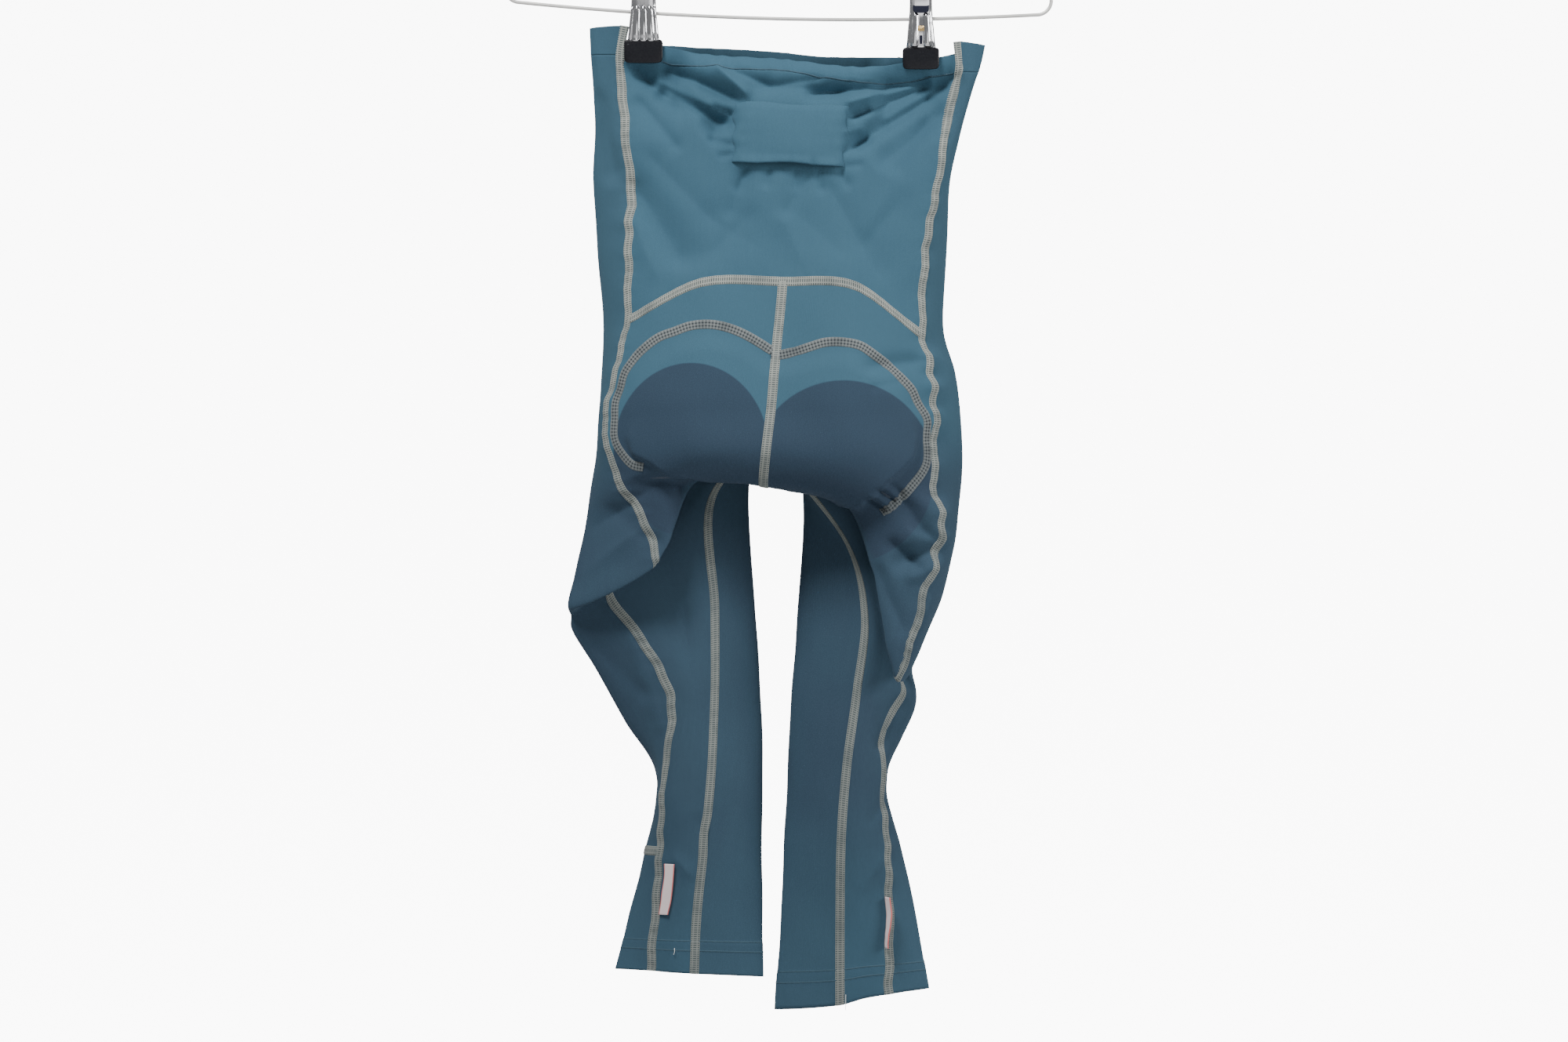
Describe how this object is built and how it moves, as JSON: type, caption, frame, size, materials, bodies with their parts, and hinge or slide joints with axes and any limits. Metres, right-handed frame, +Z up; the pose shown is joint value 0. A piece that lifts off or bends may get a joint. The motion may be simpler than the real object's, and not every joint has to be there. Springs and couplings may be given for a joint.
{
  "type": "cycling tights on a clip hanger",
  "caption": "Three-quarter cycling tights in stretch knit with a padded seat and a back pocket, hung by the waistband from a wire hanger with clips.",
  "frame": {"origin": "the point inside the top of the hook, where the hanger is held", "axes": "+Z up, the back of the tights faces -Y, the hanger lies in the plane Y = 0 with its bar along X"},
  "size_m": [0.4206, 0.1003, 0.9612],
  "materials": {
    "upper cloth": "matt stretch knit",
    "leg cloth": "matt stretch knit",
    "pad foam": "foam under cloth",
    "tab ribbon": "woven ribbon",
    "chrome wire": "polished",
    "dark grip": "dipped vinyl"
  },
  "bodies": {
    "root": {"back_panel": "upper cloth", "waistband_back": "upper cloth", "waistband_front": "upper cloth", "back_pocket": "upper cloth", "seat_leg_left": "leg cloth", "seat_leg_right": "leg cloth", "front_leg_left": "leg cloth", "front_leg_right": "leg cloth", "side_panel_left": "leg cloth", "side_panel_right": "leg cloth", "calf_side_left": "leg cloth", "seat_pad": "pad foam", "tab_left": "tab ribbon", "tab_right": "tab ribbon", "hanger_frame": "chrome wire", "hanger_hook": "chrome wire", "hanger_collar": "chrome wire", "clip_left_plate_back": "chrome wire", "clip_left_plate_front": "chrome wire", "clip_left_sleeve": "chrome wire", "clip_right_plate_back": "chrome wire", "clip_right_plate_front": "chrome wire", "clip_right_sleeve": "chrome wire", "clip_left_grip_back": "dark grip", "clip_left_grip_front": "dark grip", "clip_right_grip_back": "dark grip", "clip_right_grip_front": "dark grip"}
  },
  "joints": []
}
